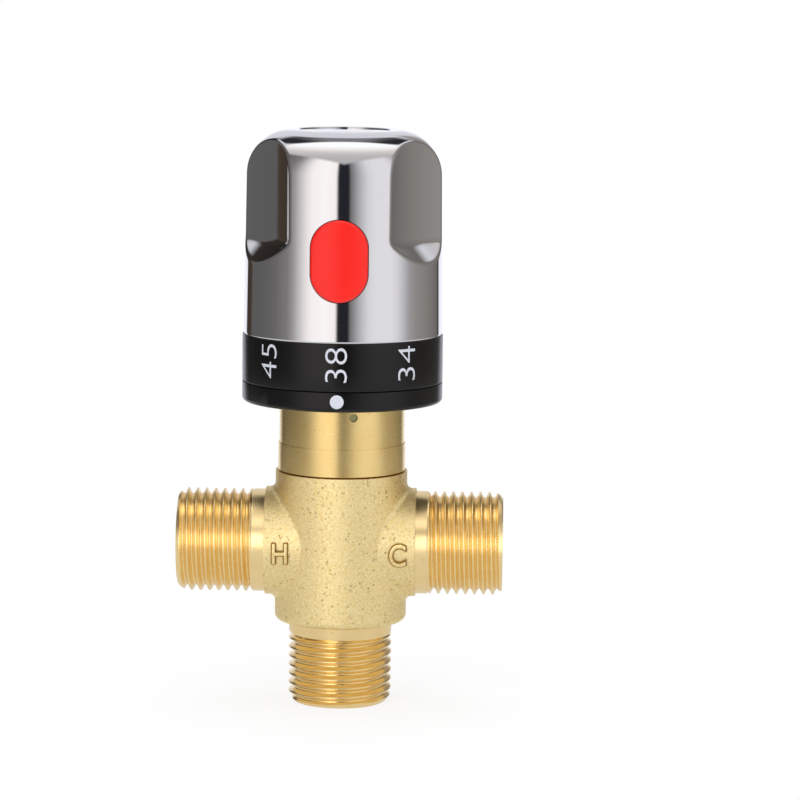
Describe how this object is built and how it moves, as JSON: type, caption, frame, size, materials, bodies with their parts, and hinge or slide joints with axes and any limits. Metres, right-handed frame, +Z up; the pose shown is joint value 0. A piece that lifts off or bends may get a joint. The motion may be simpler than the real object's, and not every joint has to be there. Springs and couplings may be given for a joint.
{
  "type": "thermostatic mixing valve",
  "caption": "Thermostatic mixing valve: brass body with two side inlets and a bottom outlet, a black temperature scale and a chrome handle with a red stop button.",
  "frame": {"origin": "centre of the outlet's end face, on which the valve stands", "axes": "+Z up along the outlet, cartridge and handle; +X towards the cold inlet, -X towards the hot inlet; -Y is the front, with the index dot and the stop button"},
  "size_m": [0.065, 0.0404, 0.115],
  "materials": {
    "cast_brass": "sand-cast and blasted, with turned threads",
    "machined_brass": "turned, bright",
    "copper_alloy": "drawn copper alloy",
    "chrome_plate": "bright chrome plate over moulded plastic",
    "black_plastic": "satin black moulding",
    "red_plastic": "glossy red moulding",
    "white_plastic": "white acetal moulding",
    "stainless_steel": "spring and sheet stainless steel",
    "black_rubber": "moulded nitrile rubber"
  },
  "bodies": {
    "valve": {"valve_body": "cast_brass", "cartridge_sleeve": "machined_brass", "cartridge_housing": "machined_brass", "stop_ring": "black_plastic", "lower_o_ring": "black_rubber", "separator_o_ring": "black_rubber", "upper_o_ring": "black_rubber", "return_spring": "stainless_steel", "hot_check_body": "white_plastic", "cold_check_body": "white_plastic", "hot_check_spring": "stainless_steel", "cold_check_spring": "stainless_steel", "hot_strainer": "stainless_steel", "cold_strainer": "stainless_steel"},
    "handle": {"handle_shell": "chrome_plate", "scale_ring": "black_plastic", "top_cap": "chrome_plate", "handle_screw": "stainless_steel", "spindle": "machined_brass", "spindle_o_rings": "black_rubber", "spindle_clip": "stainless_steel", "button_spring": "stainless_steel"},
    "stop_button": {"stop_button": "red_plastic"},
    "regulator": {"adjusting_nut": "machined_brass", "nut_clip": "stainless_steel", "overload_spring": "stainless_steel"},
    "overload_cup": {"piston_cup": "machined_brass", "element_piston": "stainless_steel"},
    "spool": {"spool": "machined_brass", "spool_o_ring": "black_rubber", "wax_element": "copper_alloy"},
    "hot_poppet": {"hot_poppet": "white_plastic", "hot_poppet_seal": "black_rubber"},
    "cold_poppet": {"cold_poppet": "white_plastic", "cold_poppet_seal": "black_rubber"}
  },
  "joints": [
    {"name": "handle_turn", "type": "hinge", "parent": "valve", "child": "handle", "pos_m": [0, 0, 0.09], "axis": [0, 0, 1], "range_deg": [-180, 60]},
    {"name": "nut_travel", "type": "slide", "parent": "valve", "child": "regulator", "axis": [0, 0, 1], "range_m": [-0.0016, 0.0006]},
    {"name": "overload_lift", "type": "slide", "parent": "regulator", "child": "overload_cup", "axis": [0, 0, 1], "range_m": [0, 0.001], "stiffness_N_per_m": 8000, "springref_m": -0.002, "deforming": ["overload_spring"]},
    {"name": "spool_travel", "type": "slide", "parent": "valve", "child": "spool", "axis": [0, 0, 1], "range_m": [-0.0005, 0.0005], "stiffness_N_per_m": 2000, "deforming": ["return_spring"]},
    {"name": "stop_button_press", "type": "slide", "parent": "handle", "child": "stop_button", "axis": [0, 1, 0], "range_m": [0, 0.0015], "stiffness_N_per_m": 800, "springref_m": -0.002, "deforming": ["button_spring"]},
    {"name": "hot_check_open", "type": "slide", "parent": "valve", "child": "hot_poppet", "axis": [1, 0, 0], "range_m": [0, 0.0015], "stiffness_N_per_m": 150, "springref_m": -0.001, "deforming": ["hot_check_spring"]},
    {"name": "cold_check_open", "type": "slide", "parent": "valve", "child": "cold_poppet", "axis": [-1, 0, 0], "range_m": [0, 0.0015], "stiffness_N_per_m": 150, "springref_m": -0.001, "deforming": ["cold_check_spring"]}
  ],
  "couplings": [
    {"joint": "nut_travel", "follows": "handle_turn", "m_per_rad": 0.00047746}
  ]
}
